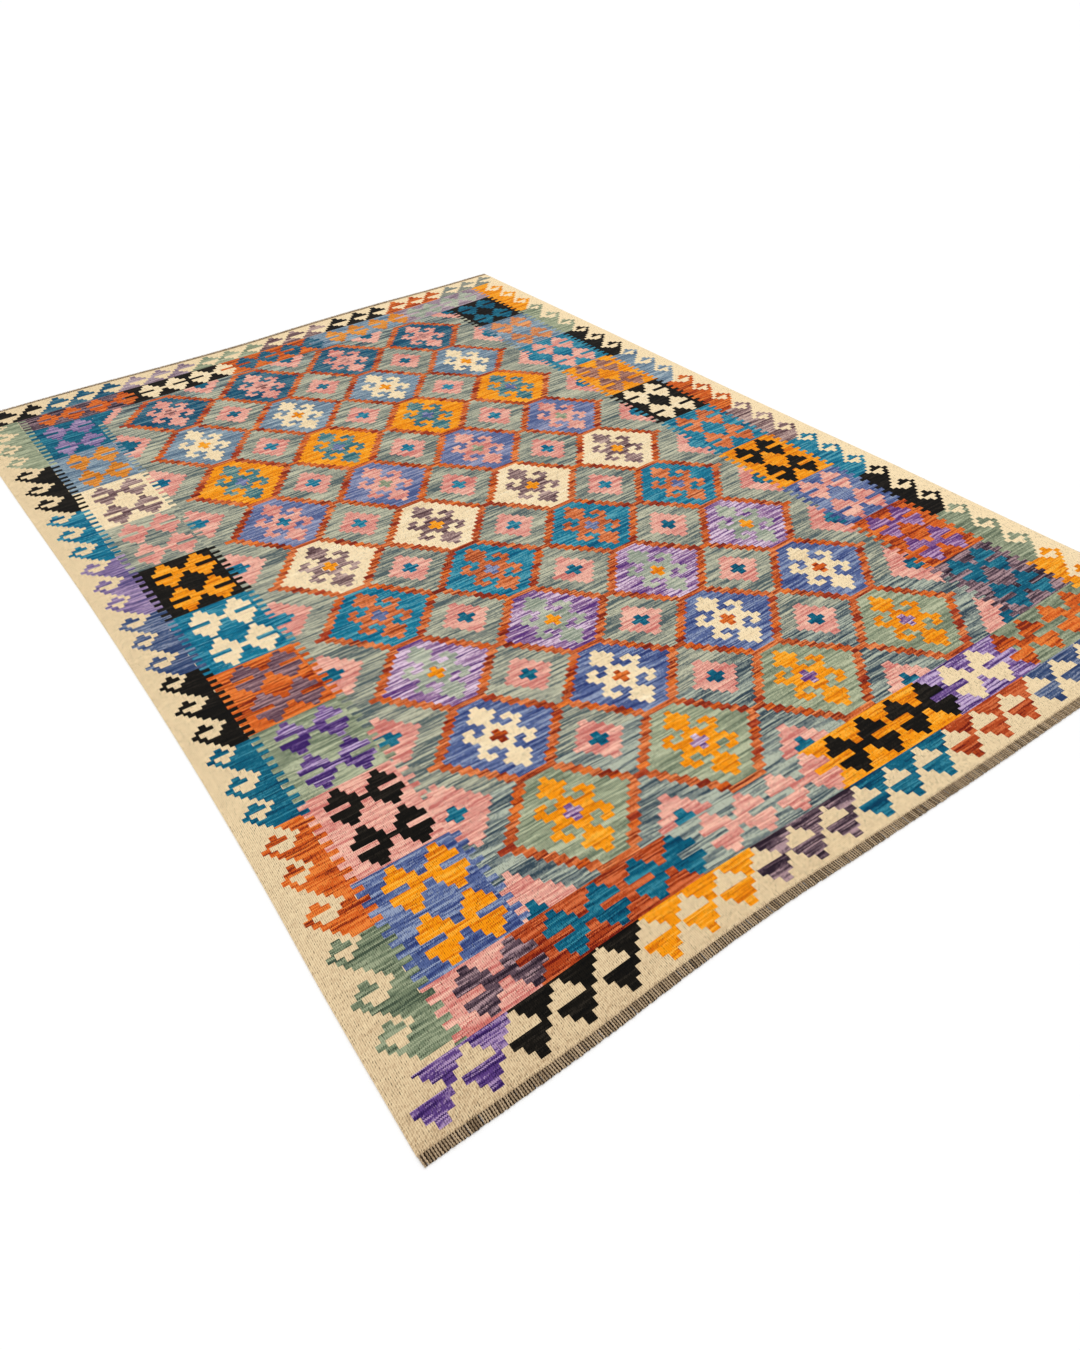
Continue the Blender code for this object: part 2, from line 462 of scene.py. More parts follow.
def weave_leaves(middles, low, high, yarn):
    """Pairs of stepped leaves in a row, slotted from their outer sides and joined through the slots' line."""
    middle, height = (low + high) / 2, (high - low) * LEAF_SHARE
    for left_x, right_x in zip(middles[::2], middles[1::2]):
        area = new_area()
        for start, end, half in LEAF_LEVELS:
            lines = (middle + height * (start - 0.5), middle + height * (end - 0.5))
            if half:
                weave(left_x - half, left_x + half, *lines, yarn, area)
                weave(right_x - half, right_x + half, *lines, yarn, area)
            else:
                weave(left_x + SLOT_DEPTH, right_x - SLOT_DEPTH, *lines, yarn, area)


# The boxes up each side from near to far: the line where each begins, its ground and its leaves
LEFT_BOXES = (
    (FIELD_NEAR, "blue", "orange"),
    (483, "pink", "black"),
    (719, "sage", "iris"),
    (962, "rust", "wine"),
    (1200, "teal", "cream"),
    (1467, "black", "orange"),
    (1725, "ground", "pink"),
    (1987, "cream", "heather"),
    (2248, "grey_blue", "amber"),
    (2507, "petrol", "lilac"),
)
RIGHT_BOXES = (
    (FIELD_NEAR, "plum", "petrol"),
    (486, "rust", "magenta"),
    (739, "blue", "pink"),
    (981, "orange", "black"),
    (1236, "teal", "copper"),
    (1495, "black", "cream"),
    (1747, "orange", "fawn"),
    (2007, "teal", "pink"),
    (2265, "grey_blue", "clay"),
    (2527, "black", "petrol"),
)

# A latch hook's rows, in millimetres from the selvedge: its tip, the rows of its curl, and its body's foot
HOOK_TIP = (51, 69)
HOOK_CURL = ((40, 82), (28, 46), (39, 57))
HOOK_FOOT = 49
HOOK_STEP = 12.4
# How tall a row is, and the fewest and most rows of a hook
HOOK_ROW = 12.6
HOOK_ROWS = (7, 8)
# How far from the selvedge the hooks' tips are placed
HOOK_TIP_X = 80

# The hooks up each side from near to far: their yarn, where each tip lies on the floor, and where the body
# beside them takes the next yarn
LEFT_HOOKS = (
    ("fern", (206, 293, 395), 381),
    ("rust", (486, 591, 678), 695),
    ("petrol", (777, 866, 966), 955),
    ("black", (1058, 1156, 1260), 1248),
    ("dusk", (1350, 1453, 1541), 1528),
    ("lilac", (1651, 1745, 1845), 1832),
    ("teal", (1951, 2056, 2157), 2144),
    ("black", (2273, 2370, 2489), 2476),
    ("sage", (2590, 2693, 2786), LENGTH),
)
RIGHT_HOOKS = (
    ("orange", (193, 281, 377), 355),
    ("moss", (466, 560, 648), 635),
    ("black", (736, 816, 914), 899),
    ("teal", (995, 1091, 1174), 1166),
    ("heather", (1267, 1361, 1454), 1432),
    ("rust", (1542, 1635, 1720), 1707),
    ("grey_blue", (1827, 1914, 2007), 1989),
    ("black", (2097, 2192, 2285), 2272),
    ("sage", (2379, 2476, 2582), 2554),
    ("orange", (2672, 2767, 2854), LENGTH),
)
# Beyond the last hook at the far end, the next would be this far on
LAST_HOOK_SPACING = 104


def hook_bands(groups, mirrored):
    """The lines between which the hooks' body is each colour."""
    turns = [loom_y(WIDTH - HOOKS_INNER if mirrored else HOOKS_INNER, turn) for *_, turn in groups[:-1]]
    areas = [new_area() for _ in groups]
    return list(zip([0] + turns, turns + [LENGTH], [yarn for yarn, *_ in groups], areas))


def weave_hooks(groups, bands, mirrored):
    """The latch hooks along one side, each curling in from a body whose edge slopes back to the next curl."""

    def weave_row(left, right, low, high, yarn, area):
        low, high = max(low, NEAR_ARROWS_TOP), min(high, FAR_ARROWS_BASE)
        if mirrored:
            left, right = WIDTH - right, WIDTH - left
        if low < high:
            weave(left, right, low, high, yarn, area)

    def weave_body(foot, low, high):
        for band_low, band_high, yarn, area in bands:
            weave_row(foot, HOOKS_INNER, max(low, band_low), min(high, band_high), yarn, area)

    tips = []
    for (yarn, floor_tips, _), (*_, area) in zip(groups, bands):
        tip_x = WIDTH - HOOK_TIP_X if mirrored else HOOK_TIP_X
        tips += [(loom_y(tip_x, y), yarn, area) for y in floor_tips]
    spacing = tips[1][0] - tips[0][0]
    tips = [(tips[0][0] - spacing, *tips[0][1:])] + tips + [(tips[-1][0] + LAST_HOOK_SPACING, *tips[-1][1:])]
    fewest, most = HOOK_ROWS
    counts = [min(max(round((b[0] - a[0]) / HOOK_ROW), fewest), most) for a, b in zip(tips, tips[1:])]
    counts = [fewest] + counts + [fewest]
    curl_end = 1 + len(HOOK_CURL)
    for number in range(1, len(tips)):
        tip, yarn, area = tips[number]
        rows, rows_above = counts[number], counts[number + 1]
        lines = [tip + (tips[number - 1][0] - tip) * row / rows for row in range(rows + 1)]
        for row in range(rows):
            place = (lines[row + 1], lines[row])
            if row == 0:
                weave_row(*HOOK_TIP, *place, yarn, area)
                weave_body(HOOK_FOOT + HOOK_STEP * (rows_above - curl_end), *place)
            elif row < curl_end:
                weave_row(*HOOK_CURL[row - 1], *place, yarn, area)
                weave_body(HOOK_FOOT + HOOK_STEP * (rows_above - 2 - row), *place)
            else:
                weave_body(HOOK_FOOT + HOOK_STEP * (row - curl_end), *place)


# The boxes' teeth on the field: how deep their roots are, how far they reach left and right, their spacing
TOOTH_ROOT = 4
TOOTH_REACH = (19, 20)
BOX_TOOTH_PITCH = 25
# The hooks' teeth on the boxes: how far each reaches either way from its line, and their spacing from these
# lines up. The right side keeps to the first.
HOOK_TOOTH = (6, 6.5)
TOOTH_PITCHES = ((0, 25.2), (900, 23.5), (1500, 27))


def weave_side(boxes, hooks, leaf_middles, mirrored):
    """One side's hooks and boxes, with the comb of teeth that ties each band to the next."""

    def place(x):
        return WIDTH - x + RIGHT_SHIFT if mirrored else x

    inner = RIGHT_BOX_INNER if mirrored else LEFT_BOX_INNER
    way = -1 if mirrored else 1
    root, tip = inner - way * TOOTH_ROOT, inner + way * TOOTH_REACH[mirrored]
    starts = [FIELD_NEAR] + [loom_y(inner, row[0]) for row in boxes[1:]]
    ends = starts[1:] + [FIELD_FAR]
    for (_, ground, leaf), low, high in zip(boxes, starts, ends):
        left, right = sorted((place(HOOKS_INNER), inner))
        weave(left, right, low, high, ground, new_area(), wander=False)
        tier = (high - low) / 2
        for number in range(2):
            weave_leaves(leaf_middles, low + tier * number, low + tier * (number + 1), leaf)
        area = new_area()
        pitch = (high - low) / round((high - low) / BOX_TOOTH_PITCH)
        line = low
        while line < high - 1:
            left, right = sorted((root, tip))
            weave(left, right, line + pitch * 0.25, line + pitch * 0.75, ground, area)
            line += pitch
    bands = hook_bands(hooks, mirrored)
    line = NEAR_ARROWS_TOP - 1
    while line < FAR_ARROWS_BASE:
        left, right = sorted((place(HOOKS_INNER - TOOTH_ROOT), place(BOX_OUTER)))
        low, high = max(line - HOOK_TOOTH[0], NEAR_ARROWS_TOP), min(line + HOOK_TOOTH[1], FAR_ARROWS_BASE)
        yarn, area = [band[2:] for band in bands if band[0] <= line][-1]
        weave(left, right, low, high, yarn, area)
        pitches = [pitch for start, pitch in TOOTH_PITCHES if start <= line]
        line += pitches[0 if mirrored else -1]
    weave_hooks(hooks, bands, mirrored)


# The boxes across each end, from the left: ground, where it gives way to the next, leaves and their middles
NEAR_BOXES = (
    ("pink", 298, "plum", (208, 298)),
    ("brick", 655, "petrol", (388, 479, 568, 655)),
    ("pewter", 1001, "pink", (744, 827, 911, 1001)),
    ("orange", 1344, "black", (1078, 1168, 1252, 1344)),
    ("iris", 1606, "ecru", (1429, 1516)),
    ("moss", WIDTH - HOOKS_INNER, "rust", (1606, 1694, 1779, 1865)),
)
FAR_BOXES = (
    ("plum", 475, "rust", (217, 300, 387, 477)),
    ("black", 828, "cream", (562, 654, 738, 828)),
    ("rust", 1169, "slate", (912, 994, 1081, 1169)),
    ("grey_blue", 1525, "amber", (1262, 1350, 1438, 1525)),
    ("mauve", WIDTH - HOOKS_INNER, "pale_sage", (1606, 1679, 1762, 1850)),
)


def weave_end_boxes(boxes, low, high):
    """Boxes in a row. Each ground runs on to the middle of a leaf, and fills that leaf's slot on its side."""
    slot_shares = next((start, end) for start, end, half in LEAF_LEVELS if not half)
    slot = [low + (high - low) * (0.5 + LEAF_SHARE * (share - 0.5)) for share in slot_shares]
    start, slot_start = HOOKS_INNER, HOOKS_INNER
    for ground, turn, _, middles in boxes:
        area = new_area()
        slot_turn = turn - SLOT_DEPTH if turn in middles else turn + SLOT_DEPTH
        weave(start, turn, low, high, ground, area, wander=False)
        weave(slot_start, slot_turn, *slot, ground, area, wander=False)
        start, slot_start = turn, slot_turn
    for _, _, leaf, middles in boxes:
        weave_leaves(middles, low, high, leaf)


# The arrows across each end, from the left: each colour and the middles of its arrows' necks
NEAR_ARROWS = (
    ("violet", (94, 184)),
    ("black", (271, 362, 455)),
    ("orange", (546, 631, 719)),
    ("plum", (804, 889, 974)),
    ("petrol", (1060, 1144, 1234)),
    ("brick", (1319, 1408, 1495)),
    ("dusk", (1584, 1674, 1764)),
    ("moss", (1857, 1945)),
)
FAR_ARROWS = (
    ("black", (70, 157)),
    ("slate", (248, 335, 425)),
    ("mauve", (514, 600, 686)),
    ("sage", (775, 856, 944)),
    ("heather", (1028, 1116, 1202)),
    ("black", (1294, 1381, 1462)),
    ("rust", (1550, 1632, 1712)),
    ("grey_teal", (1800, 1886, 1972)),
)
# Each level of an arrow from its base: where it starts and ends, as shares of the band, half width and shift
ARROW_LEVELS = (
    (0, 0.05, 45, 0),
    (0.05, 0.17, 36, 0),
    (0.17, 0.29, 24, 0),
    (0.29, 0.44, 11, 0),
    (0.44, 0.59, 35.5, 38),
    (0.59, 0.74, 23, 38),
    (0.74, 0.9, 10.5, 38),
)


def weave_arrows(groups, base, outer_edge):
    """A row of arrows whose bases stand on a line, and whose heads point at the end of the rug."""
    band = outer_edge - base
    lean = 1 if band > 0 else -1
    for yarn, middles in groups:
        for x in middles:
            area = new_area()
            for start, end, half, shift in ARROW_LEVELS:
                low, high = sorted((base + band * start, base + band * end))
                weave(x + lean * shift - half, x + lean * shift + half, low, high, yarn, area)


def weave_rug():
    """The whole pattern, what lies over other bands after them."""
    weave(0, WIDTH, 0, LENGTH, "ecru", new_area(), wander=False)
    weave_field()
    weave_end_boxes(NEAR_BOXES, NEAR_ARROWS_TOP, FIELD_NEAR)
    weave_end_boxes(FAR_BOXES, FIELD_FAR, FAR_ARROWS_BASE)
    weave_side(LEFT_BOXES, LEFT_HOOKS, (208, 297), False)
    weave_side(RIGHT_BOXES, RIGHT_HOOKS, (1771, 1858), True)
    weave_arrows(NEAR_ARROWS, NEAR_ARROWS_TOP, 0)
    weave_arrows(FAR_ARROWS, FAR_ARROWS_BASE, LENGTH)


# ---- from the woven grid to a mesh ----

LONGEST_FACE_WARPS = 40
LONGEST_FACE_PICKS = 20
# An area and a yarn make one code, and the yarns are fewer than this
YARN_CODES = 64
Block = namedtuple("Block", "left right low high yarn area")


def woven_blocks():
    """The woven grid as rectangles of one yarn and one area, each as tall as it can be."""
    blocks, open_blocks = [], {}
    for pick in range(PICKS + 1):
        runs = {}
        if pick < PICKS:
            row = area_at[pick].astype(np.int64) * YARN_CODES + yarn_at[pick]
            turns = [0, *(np.flatnonzero(np.diff(row)) + 1).tolist(), WARPS]
            for left, right in zip(turns, turns[1:]):
                parts = math.ceil((right - left) / LONGEST_FACE_WARPS)
                for part in range(parts):
                    a = left + (right - left) * part // parts
                    b = left + (right - left) * (part + 1) // parts
                    runs[(a, b, int(row[left]))] = pick
        still_open = {}
        for key, start in open_blocks.items():
            if key in runs and pick - start < LONGEST_FACE_PICKS:
                still_open[key] = start
                del runs[key]
            else:
                left, right, code = key
                area, yarn = divmod(code, YARN_CODES)
                blocks.append(Block(left, right, start, pick, yarn, area))
        still_open.update(runs)
        open_blocks = still_open
    return blocks


def blocks_to_mesh(blocks):
    """The corners, the outline of each block with every corner on it, so that no cracks open, and the rim."""
    corners = sorted({(x, y) for b in blocks for x in (b.left, b.right) for y in (b.low, b.high)})
    index = {corner: number for number, corner in enumerate(corners)}
    on_warp, on_pick = {}, {}
    for x, y in corners:
        on_warp.setdefault(x, []).append(y)
        on_pick.setdefault(y, []).append(x)

    def between(line, low, high):
        return line[bisect_left(line, low): bisect_right(line, high)]

    def around(left, right, low, high):
        """The corners on a rectangle's four sides, anticlockwise from its near left one."""
        near = [(x, low) for x in between(on_pick[low], left, right)]
        right_side = [(right, y) for y in between(on_warp[right], low, high)]
        far = [(x, high) for x in between(on_pick[high], left, right)][::-1]
        left_side = [(left, y) for y in between(on_warp[left], low, high)][::-1]
        return [index[corner] for side in (near, right_side, far, left_side) for corner in side[:-1]]

    outlines = [around(b.left, b.right, b.low, b.high) for b in blocks]
    return corners, outlines, around(0, WARPS, 0, PICKS)


# The cloth's top and underside, and how far its rim is rounded off above and below, and bulges out
CLOTH_TOP = 3.6
UNDERSIDE = 0.05
TOP_ROUNDING = 0.9
UNDER_ROUNDING = 0.54
SELVEDGE_BULGE = 0.8
DEEPEST_DIP = 0.4
UV_MARGIN = 0.004


def lie_of_cloth(x, y):
    """How far the cloth lifts or dips in places, in millimetres: one slow swell and one quicker."""
    slow = np.sin(x / 310 + 0.8) * np.sin(y / 420 + 0.4)
    quick = np.sin(x / 128 + y / 190) * np.sin(y / 97 - x / 240)
    return 0.35 * slow + 0.25 * quick


def rim_outward(corner):
    """The way out of the cloth at a corner on its rim."""
    out = Vector(((corner[0] == WARPS) - (corner[0] == 0), (corner[1] == PICKS) - (corner[1] == 0)))
    return list(out.normalized())


def cloth_points(corners, rim):
    """The points of the cloth's top, its underside and its rim's middle, and where each is on the loom."""
    grid = np.array(corners, float)
    loom_x, loom_line = grid[:, 0] * WIDTH / WARPS, grid[:, 1] * LENGTH / PICKS
    x, y = loom_to_floor(loom_x, loom_line)
    on_rim = np.zeros(len(x), bool)
    on_rim[rim] = True
    lift = lie_of_cloth(x, y)
    top = CLOTH_TOP + np.maximum(lift, -DEEPEST_DIP) - TOP_ROUNDING * on_rim
    under = UNDERSIDE + np.maximum(lift, 0) / 2 + UNDER_ROUNDING * on_rim
    edge = np.stack([x[rim], y[rim], (top[rim] + under[rim]) / 2], 1)
    edge[:, :2] += np.array([rim_outward(corners[i]) for i in rim]) * SELVEDGE_BULGE
    points = np.concatenate([np.stack([x, y, top], 1), np.stack([x, y, under], 1), edge])
    loom = np.stack([loom_x, loom_line, np.zeros(len(x))], 1) * MM
    return (points - (*MIDDLE, 0)) * MM, np.concatenate([loom, loom, loom[rim]])


def close_cloth(outlines, rim, count):
    """The cloth's faces, top, underside and two strips round the rim, and the block that each belongs to."""
    faces = outlines + [[i + count for i in reversed(face)] for face in outlines]
    block_of = list(range(len(outlines))) * 2
    beside = {}
    for number, face in enumerate(outlines):
        for start, end in zip(face, face[1:] + face[:1]):
            beside[(start, end)] = number
    for i, start in enumerate(rim):
        following = (i + 1) % len(rim)
        end = rim[following]
        middle_start, middle_end = 2 * count + i, 2 * count + following
        faces.append([start, middle_start, middle_end, end])
        faces.append([middle_start, start + count, end + count, middle_end])
        block_of += [beside[(start, end)]] * 2
    return faces, block_of


def add_object(name, mesh):
    mesh.update()
    piece = bpy.data.objects.new(name, mesh)
    bpy.context.scene.collection.objects.link(piece)
    return piece


def streak_place(area):
    """Where in the streaks' noise an area begins, well away from the areas beside it."""
    return (area * 7919) % 1009 / 10


def build_cloth():
    """The woven cloth: one closed mesh, with a material for each yarn."""
    weave_rug()
    blocks = woven_blocks()
    corners, outlines, rim = blocks_to_mesh(blocks)
    points, loom_points = cloth_points(corners, rim)
    faces, block_of = close_cloth(outlines, rim, len(corners))
    mesh = bpy.data.meshes.new("woven_cloth")
    mesh.from_pydata(points.tolist(), [], faces)
    for yarn in YARNS:
        mesh.materials.append(yarn_material(yarn))
    mesh.polygons.foreach_set("material_index", [blocks[number].yarn for number in block_of])
    loom = mesh.attributes.new("loom", "FLOAT_VECTOR", "POINT")
    loom.data.foreach_set("vector", loom_points.ravel())
    area = mesh.attributes.new("area", "FLOAT", "FACE")
    area.data.foreach_set("value", [streak_place(blocks[number].area) for number in block_of])
    uv = mesh.uv_layers.new(name="OFBake")
    grid = np.array(corners, float)
    share = np.concatenate([grid, grid, grid[rim]]) / (WARPS, PICKS)
    loops = np.zeros(len(mesh.loops), np.int32)
    mesh.loops.foreach_get("vertex_index", loops)
    uv.data.foreach_set("uv", (UV_MARGIN + share * (1 - 2 * UV_MARGIN))[loops].ravel())
    return add_object("woven_cloth", mesh)


# ---- materials ----


def linear(colour):
    """A 0 to 255 display colour as Blender's linear colour."""
    shares = [part / 255 for part in colour]
    return [c / 12.92 if c <= 0.04045 else ((c + 0.055) / 1.055) ** 2.4 for c in shares] + [1.0]


def node(tree, kind, values=None, **settings):
    """A new node. values gives its inputs' own values by name, and settings its properties."""
    made = tree.nodes.new(kind)
    for name, value in settings.items():
        setattr(made, name, value)
    for name, value in (values or {}).items():
        made.inputs[name].default_value = value
    return made


def maths(tree, operation, *inputs):
    """A Math node on sockets or numbers, and its result."""
    made = node(tree, "ShaderNodeMath", operation=operation)
    for number, value in enumerate(inputs):
        if isinstance(value, (int, float)):
            made.inputs[number].default_value = value
        else:
            tree.links.new(value, made.inputs[number])
    return made.outputs[0]


def noise(tree, vector, **values):
    """A noise texture on a vector, and its result."""
    made = node(tree, "ShaderNodeTexNoise", values)
    tree.links.new(vector, made.inputs["Vector"])
    return made.outputs[0]


def ramp(tree, value, stops):
    """A colour ramp on a value. stops are its places, in order, and their display colours."""
    made = node(tree, "ShaderNodeValToRGB")
    elements = made.color_ramp.elements
    for number, (place, colour) in enumerate(stops):
        element = elements[number] if number < 2 else elements.new(place)
        element.position = place
        element.color = linear(colour)
    tree.links.new(value, made.inputs[0])
    return made.outputs[0]


def loom_place(tree):
    """Where a point is on the loom: the place itself, and its parts along the weft and along the warp."""
    place = node(tree, "ShaderNodeAttribute", attribute_name="loom").outputs["Vector"]
    split = node(tree, "ShaderNodeSeparateXYZ")
    tree.links.new(place, split.inputs[0])
    return place, split.outputs[0], split.outputs[1]


def wool(name, specular, sheen):
    """A matt woollen material, with its node tree and its shader."""
    material = bpy.data.materials.new(name)
    material.use_nodes = True
    shader = material.node_tree.nodes["Principled BSDF"]
    shader.inputs["Roughness"].default_value = 1.0
    shader.inputs["Specular IOR Level"].default_value = specular
    shader.inputs["Sheen Weight"].default_value = sheen
    return material, material.node_tree, shader


def add_bump(tree, shader, height, strength, distance):
    bump = node(tree, "ShaderNodeBump", {"Strength": strength, "Distance": distance})
    tree.links.new(height, bump.inputs["Height"])
    tree.links.new(bump.outputs[0], shader.inputs["Normal"])


# In metres: the spacing of the ribs, the wefts and the picks that each have a shade, and how far both wobble
RIB_PITCH = 0.0036
WEFT_PITCH = 0.00125
PICK_PITCH = 0.0028
RIB_WOBBLE = 0.004
PICK_WOBBLE = 0.006
# How much of a rib's height is the roundness of its wefts
WEFT_RELIEF = 0.45
# The painted shade: its level on the ribs, how much darker it is painted between them, and how rare the picks
# sunk between them are
RIB_SHADE = 1.1
VALLEY_SHADE = -0.4
PIT_RARITY = 5.5


def weave_group():
    """The relief and shade of the weave: wefts over ribs of warp, half a pick out of step on each half."""
    group = bpy.data.node_groups.new("weft_faced_weave", "ShaderNodeTree")
    for socket in ("Height", "Shade", "Pick", "Speck"):
        group.interface.new_socket(socket, in_out="OUTPUT", socket_type="NodeSocketFloat")

    calc = partial(maths, group)

    def hump(value):
        """1 in the middle of each thread and 0 at its sides."""
        centred = calc("MULTIPLY_ADD", value, 2.0, -1.0)
        return calc("SUBTRACT", 1.0, calc("MULTIPLY", centred, centred))

    place, weft_way, warp_way = loom_place(group)
    wobble = noise(group, place, Scale=25.0, Detail=2.0)
    x = calc("DIVIDE", calc("MULTIPLY_ADD", wobble, RIB_WOBBLE, weft_way), RIB_PITCH)
    across = calc("FRACT", x)
    stepped = calc("GREATER_THAN", across, 0.5)
    along = calc("FRACT", calc("MULTIPLY_ADD", stepped, 0.5, calc("DIVIDE", warp_way, WEFT_PITCH)))
    y = calc("DIVIDE", calc("MULTIPLY_ADD", wobble, PICK_WOBBLE, warp_way), PICK_PITCH)
    pick = calc("FLOOR", calc("MULTIPLY_ADD", stepped, 0.5, y))
    rib, thread = calc("SQRT", hump(across)), calc("SQRT", hump(along))
    height = calc("MULTIPLY", rib, calc("MULTIPLY_ADD", thread, WEFT_RELIEF, 1 - WEFT_RELIEF))

    # painted shade: it is painted darker between the ribs, and darker still where a pick sinks into a pit
    # here and there
    valley = calc("SUBTRACT", 1.0, hump(across))
    cell = node(group, "ShaderNodeCombineXYZ")
    group.links.new(calc("FLOOR", calc("ADD", x, 0.5)), cell.inputs[0])
    group.links.new(pick, cell.inputs[1])
    speck = node(group, "ShaderNodeTexWhiteNoise", noise_dimensions="2D")
    group.links.new(cell.outputs[0], speck.inputs["Vector"])
    painted_pit_shade = calc("MULTIPLY", calc("POWER", speck.outputs[0], PIT_RARITY), -1.0)
    shade = calc("MULTIPLY_ADD", valley, painted_pit_shade, RIB_SHADE)
    shade = calc("MULTIPLY_ADD", calc("MULTIPLY", valley, valley), VALLEY_SHADE, shade)
    out = node(group, "NodeGroupOutput")
    results = (height, shade, pick, calc("SUBTRACT", speck.outputs[1], 0.5))
    for number, result in enumerate(results):
        group.links.new(result, out.inputs[number])
    return group


# The fine, broad and slow streaks: how fast each changes by the metre of weft and by the pick, and how much
STREAKS = ((11.0, 1.3, 0.62), (3.0, 0.31, 0.32), (1.0, 0.05, 0.22))
DYED_STREAK = 3.6
UNDYED_STREAK = 0.5
SPECKLE = 0.5
# The undyed border: its darkest picks, its tone, its painted light, which makes it paler a metre to the
# right, its painted shade, which makes it browner along the near end, and how fast that shade fades
ECRU_SPECK = (166, 138, 104)
ECRU_TONE = 0.58
PAINTED_LIGHT_RIGHT = 0.24
PAINTED_SHADE_NEAR = -0.3
NEAR_FADE = -2.5


def yarn_material(yarn):
    """Hand-spun wool of one dye lot: streaks along the weft, ribs of warp under it, a soft sheen."""
    material, tree, shader = wool("wool_" + yarn.name, specular=0.04, sheen=0.02)
    shader.inputs["Sheen Roughness"].default_value = 0.6
    weave_node = node(tree, "ShaderNodeGroup", node_tree=WEAVE)
    _, weft_way, warp_way = loom_place(tree)
    area = node(tree, "ShaderNodeAttribute", attribute_name="area").outputs["Fac"]

    calc = partial(maths, tree)

    def streaks(per_metre, per_pick, weight):
        """Noise drawn out along the weft, all of a piece across each pick, about 0."""
        across = calc("MULTIPLY_ADD", weft_way, per_metre, area)
        along = calc("MULTIPLY", weave_node.outputs["Pick"], per_pick)
        place = node(tree, "ShaderNodeCombineXYZ")
        for part, socket in zip((across, along, area), place.inputs):
            tree.links.new(part, socket)
        drawn = noise(tree, place.outputs[0], Scale=1.0, Detail=1.0, Roughness=0.5)
        return calc("MULTIPLY", calc("SUBTRACT", drawn, 0.5), weight)

    fine, broad, slow = [streaks(*kind) for kind in STREAKS]
    streak = calc("ADD", calc("ADD", fine, broad), slow)
    if yarn.streak:
        tone = calc("MULTIPLY_ADD", streak, DYED_STREAK * yarn.streak, 0.5)
        stops = ((0.08, yarn.dark), (0.40, yarn.mid), (0.60, yarn.mid), (0.92, yarn.light))
    else:
        # painted light and shade: the undyed border is painted browner towards the near end and paler towards
        # the right
        near = calc("POWER", math.e, calc("MULTIPLY", warp_way, NEAR_FADE))
        base = calc("MULTIPLY_ADD", near, PAINTED_SHADE_NEAR, ECRU_TONE)
        base = calc("MULTIPLY_ADD", weft_way, PAINTED_LIGHT_RIGHT, base)
        tone = calc("MULTIPLY_ADD", streak, UNDYED_STREAK, base)
        stops = ((0, ECRU_SPECK), (0.28, yarn.dark), (0.6, yarn.mid), (1, yarn.light))
    tone = calc("ADD", tone, calc("MULTIPLY", weave_node.outputs["Speck"], SPECKLE))

    # a Mix node's colours are its inputs 6 and 7, and its mixed colour is its output 2
    # the yarn's colour is multiplied by the weave's painted shade
    shaded = node(tree, "ShaderNodeMix", data_type="RGBA", blend_type="MULTIPLY")
    shaded.inputs[0].default_value = 1.0
    tree.links.new(ramp(tree, tone, stops), shaded.inputs[6])
    tree.links.new(weave_node.outputs["Shade"], shaded.inputs[7])
    tree.links.new(shaded.outputs[2], shader.inputs["Base Color"])
    add_bump(tree, shader, weave_node.outputs["Height"], strength=0.6, distance=0.0006)
    return material


# the darkest tones are the dark ply's, partly dark wool and partly painted shadow between the strands
FRINGE_TONES = ((0, (26, 18, 12)), (0.3, (74, 57, 42)), (0.65, (152, 130, 102)), (1, (198, 174, 142)))
MOTTLE = 0.5


def fringe_material():
    """Undyed warp wool, dark brown to pale grey-beige from ply to ply. Its darkest browns also stand for
    painted shadow between the strands.
    """
    material, tree, shader = wool("warp_wool", specular=0.05, sheen=0.03)
    ply = node(tree, "ShaderNodeAttribute", attribute_name="ply").outputs["Fac"]
    place = node(tree, "ShaderNodeTexCoord").outputs["Object"]
    mottle = maths(tree, "SUBTRACT", noise(tree, place, Scale=500.0, Detail=3.0), 0.5)
    tone = maths(tree, "ADD", ply, maths(tree, "MULTIPLY", mottle, MOTTLE))
    tree.links.new(ramp(tree, tone, FRINGE_TONES), shader.inputs["Base Color"])
    wave = node(tree, "ShaderNodeTexWave", {"Scale": 260.0, "Distortion": 1.5}, bands_direction="DIAGONAL")
    tree.links.new(place, wave.inputs["Vector"])
    add_bump(tree, shader, wave.outputs[1], strength=0.5, distance=0.0004)
    return material


# ---- the fringe ----

STRANDS = 430
PLY_RINGS = 9
PLY_SIDES = 6
CUT_END_SIZE = 0.8
TURNS_OF_TWIST = 1.9
PALE_RADIUS = 0.92
# In pale radii
TWIST_HEIGHT = 2.3
TWIST_SWING = 0.85
# Half the dark ply's width and height, and the least and most of its width. The dark ply lies low in the gap
# between strands, and is partly dark wool and partly painted shadow
DARK_WOOL_AND_SHADOW_RADII = (1.7, 0.8)
DARK_WOOL_AND_SHADOW_WIDTHS = (0.95, 1.2)
DARK_WOOL_AND_SHADOW_SHORTER = 0.6
FRINGE_ROOT = 2.5
LENGTH_SPREAD = 0.7
LEAN_SPREAD = 0.4
BEND = 0.7
ROOT_SPREAD = 0.35
PALE_TONE = 0.84
PALE_TONE_SPREAD = 0.16
LOWEST_PALE_TONE = 0.45
PLY_TONE_SPREAD = 0.08
HIGHEST_WOOL_AND_SHADOW_TONE = 0.3
# Near and far
FRINGE_LENGTHS = (22.0, 19.5)
PALER_BY = (0, 0.12)


